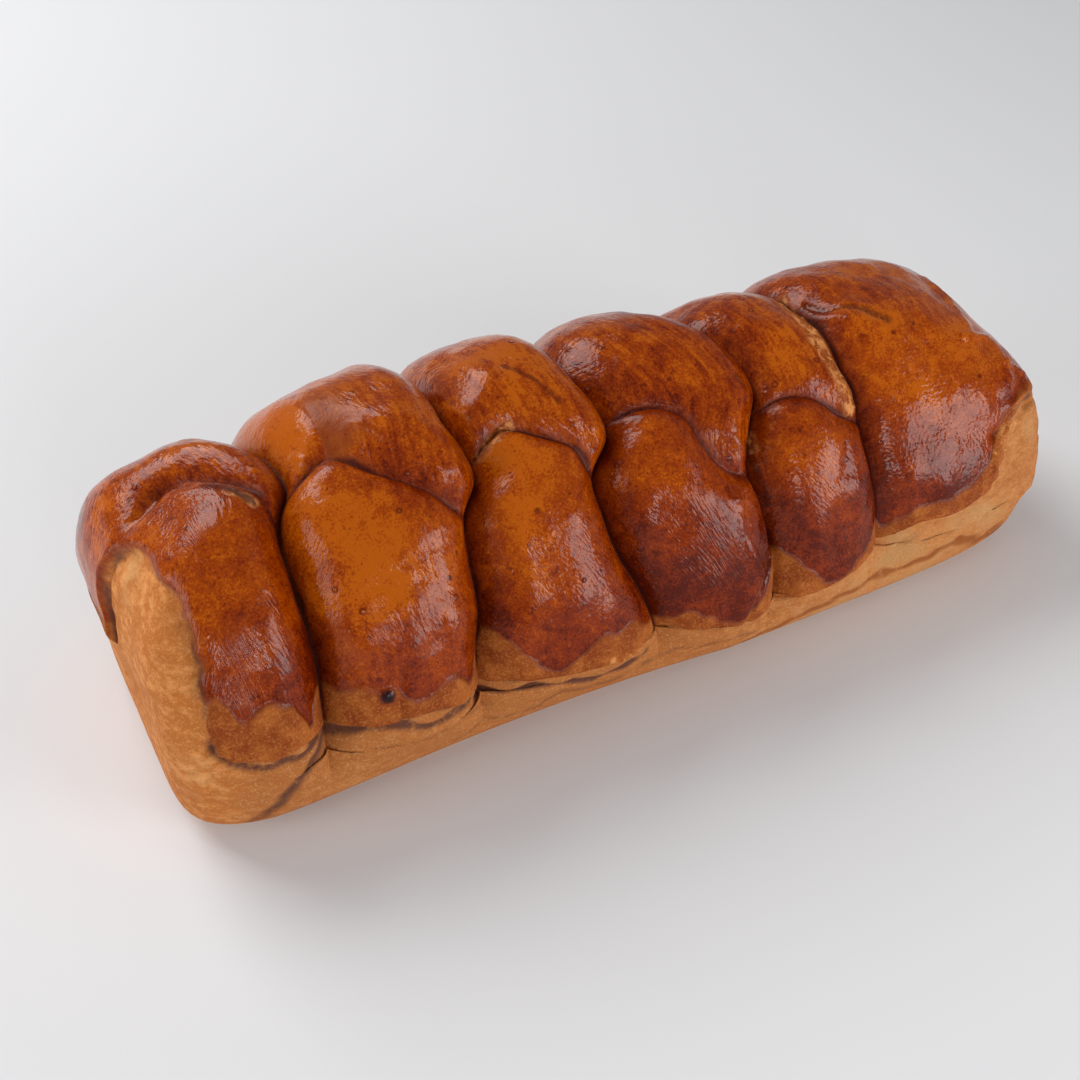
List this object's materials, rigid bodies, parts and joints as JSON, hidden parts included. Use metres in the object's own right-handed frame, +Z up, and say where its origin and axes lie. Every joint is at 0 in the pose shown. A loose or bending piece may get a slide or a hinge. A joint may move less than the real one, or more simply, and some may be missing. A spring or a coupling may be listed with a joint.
{
  "type": "brioche loaf",
  "caption": "Long plaited brioche loaf with a rounded, glazed orange-brown crown of overlapping lobes and a pale tan foot, baked in a tin; a whole loaf to set on a board, shelf or table.",
  "frame": {"origin": "middle of the flat foot the loaf rests on, at the height of the table", "axes": "+X along the loaf towards its rounded right end, -Y the front with the long front lobes, +Z up"},
  "size_m": [0.3062, 0.121, 0.1017],
  "materials": {
    "brioche": "glossy egg-washed crust, orange brown to deep brown, with pinkish highlights; matt tan crumbly dough at the foot and on the left end"
  },
  "bodies": {
    "root": {"brioche": "brioche"}
  },
  "joints": []
}
